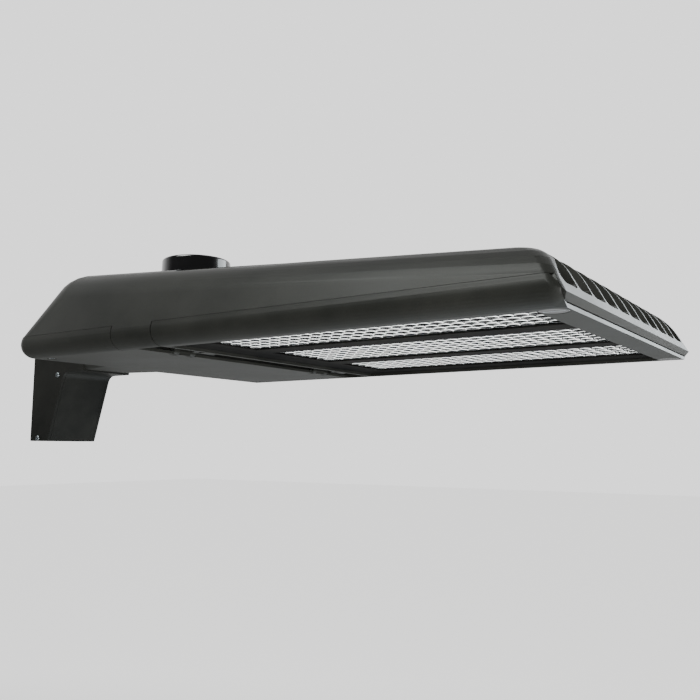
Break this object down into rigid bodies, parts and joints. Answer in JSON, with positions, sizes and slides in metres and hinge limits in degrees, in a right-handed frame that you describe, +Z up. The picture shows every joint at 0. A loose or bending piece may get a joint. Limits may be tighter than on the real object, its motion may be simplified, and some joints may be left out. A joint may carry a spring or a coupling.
{
  "type": "outdoor area light",
  "caption": "Flat shoebox area light on a short pole arm: finned die-cast head, lens arrays in a hinged frame, hinged driver door, drop-leg pole bracket and twist-lock control cap on the roof.",
  "frame": {"origin": "middle of the two pole bolt holes, on the bracket's face against the pole", "axes": "+X out from the pole towards the tip, +Y to the far side, +Z up; the lenses face down"},
  "size_m": [0.814, 0.4, 0.2261],
  "materials": {
    "housing_paint": "dark bronze-grey powder coat, fine texture, satin",
    "frame_paint": "grey powder coat, satin",
    "door_paint": "grey powder coat, satin",
    "trim": "black coated sheet, matt",
    "bracket_paint": "dark grey powder coat, satin",
    "lens": "clear acrylic, glossy",
    "board": "white solder mask",
    "seal": "black silicone",
    "pale_seal": "pale silicone",
    "screw_steel": "stainless, satin",
    "bolt_steel": "zinc plated",
    "pin_steel": "stainless pin, bright",
    "latch_metal": "die-cast, grey, satin",
    "tray_metal": "galvanised sheet",
    "driver_case": "white painted case",
    "surge_case": "dark plastic case",
    "terminal_body": "cream plastic",
    "ground_metal": "green passivated",
    "socket_body": "black plastic, matt",
    "cap_body": "black plastic, gloss"
  },
  "bodies": {
    "head": {"housing": "housing_paint", "led_board_near": "board", "led_board_mid": "board", "led_board_far": "board", "lens_seal_near": "pale_seal", "lens_seal_mid": "pale_seal", "lens_seal_far": "pale_seal", "optic_near": "lens", "optic_mid": "lens", "optic_far": "lens", "board_screws": "screw_steel", "frame_hinge_pins": "pin_steel", "door_hinge_pins": "pin_steel", "door_seal": "seal", "driver_tray": "tray_metal", "tray_screws": "screw_steel", "led_driver": "driver_case", "driver_screws": "screw_steel", "surge_protector": "surge_case", "terminal_block": "terminal_body", "ground_screw": "ground_metal", "arm_bracket": "bracket_paint", "bracket_cover": "bracket_paint", "cover_screws": "screw_steel", "arm_bolts": "bolt_steel", "wire_grommet": "seal", "socket_ring": "socket_body", "socket_screws": "screw_steel"},
    "optical_frame": {"optical_frame": "frame_paint", "lens_bezel": "trim", "bezel_screws": "screw_steel"},
    "driver_door": {"driver_door": "door_paint", "door_screws": "bolt_steel"},
    "latch_near": {"latch_near": "latch_metal"},
    "latch_far": {"latch_far": "latch_metal"},
    "socket": {"control_socket": "socket_body", "cap_seal": "seal"},
    "cap": {"control_cap": "cap_body"}
  },
  "joints": [
    {"name": "frame_open", "type": "hinge", "parent": "head", "child": "optical_frame", "pos_m": [0.407, 0, 0.0165], "axis": [0, 1, 0], "range_deg": [0, 90]},
    {"name": "door_open", "type": "hinge", "parent": "head", "child": "driver_door", "pos_m": [0.3775, 0, 0.0165], "axis": [0, -1, 0], "range_deg": [0, 90]},
    {"name": "latch_near_turn", "type": "hinge", "parent": "optical_frame", "child": "latch_near", "pos_m": [0.7977, -0.174, 0.02], "axis": [0, 0, -1], "range_deg": [0, 90]},
    {"name": "latch_far_turn", "type": "hinge", "parent": "optical_frame", "child": "latch_far", "pos_m": [0.7977, 0.174, 0.02], "axis": [0, 0, 1], "range_deg": [0, 90]},
    {"name": "socket_turn", "type": "hinge", "parent": "head", "child": "socket", "pos_m": [0.272, 0, 0.115], "axis": [0, 0, 1], "range_deg": [-175, 175]},
    {"name": "cap_turn", "type": "hinge", "parent": "socket", "child": "cap", "pos_m": [0.272, 0, 0.125], "axis": [0, 0, 1], "range_deg": [0, 35]}
  ]
}
